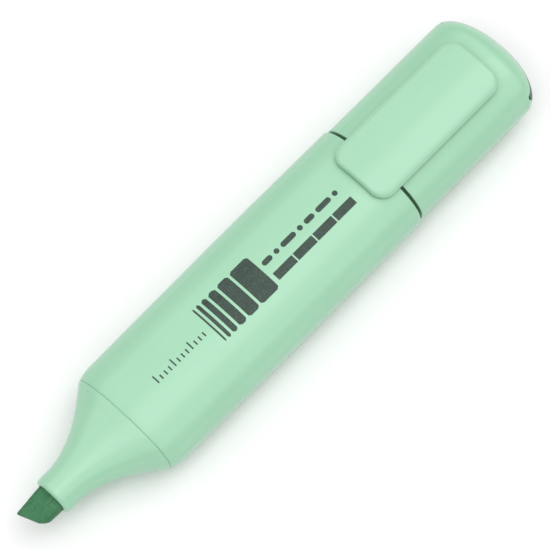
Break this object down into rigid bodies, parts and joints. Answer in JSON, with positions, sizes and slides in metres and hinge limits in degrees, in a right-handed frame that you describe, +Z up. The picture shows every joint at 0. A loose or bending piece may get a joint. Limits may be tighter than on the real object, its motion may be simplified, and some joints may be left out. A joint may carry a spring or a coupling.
{
  "type": "highlighter pen",
  "caption": "Flat-oval highlighter with a slanted chisel nib, a flared front section and a clip cap pushed onto the rear end.",
  "frame": {"origin": "on the surface that the pen lies on, under the middle of its overall length and width", "axes": "+X along the pen from the nib to the cap, +Z up, out through the clip, +Y completes a right-handed frame"},
  "size_m": [0.139, 0.0272, 0.0181],
  "materials": {
    "mint_plastic": "satin moulded pastel mint, with a dark green pad print on the barrel",
    "dark_green_plastic": "satin moulded dark green",
    "nib_fibre": "bonded fibre, wet with green ink",
    "ink_fibre": "polyester fibre bundle, soaked with ink",
    "clear_film": "thin clear film",
    "natural_plastic": "milky unpigmented plastic"
  },
  "bodies": {
    "pen_body": {"barrel": "mint_plastic", "front_section": "mint_plastic", "nib": "nib_fibre", "reservoir_core": "ink_fibre", "reservoir_film": "clear_film", "breather_tube": "natural_plastic", "rear_plug": "dark_green_plastic"},
    "cap": {"cap_shell": "mint_plastic", "inner_cap": "dark_green_plastic"},
    "clip": {"clip": "mint_plastic"}
  },
  "joints": [
    {"name": "cap_slide", "type": "slide", "parent": "pen_body", "child": "cap", "axis": [1, 0, 0], "range_m": [0, 0.045]},
    {"name": "clip_flex", "type": "hinge", "parent": "cap", "child": "clip", "pos_m": [0.0576, 0, 0.01625], "axis": [0, 1, 0], "range_deg": [0, 6], "stiffness_Nm_per_rad": 0.5}
  ]
}
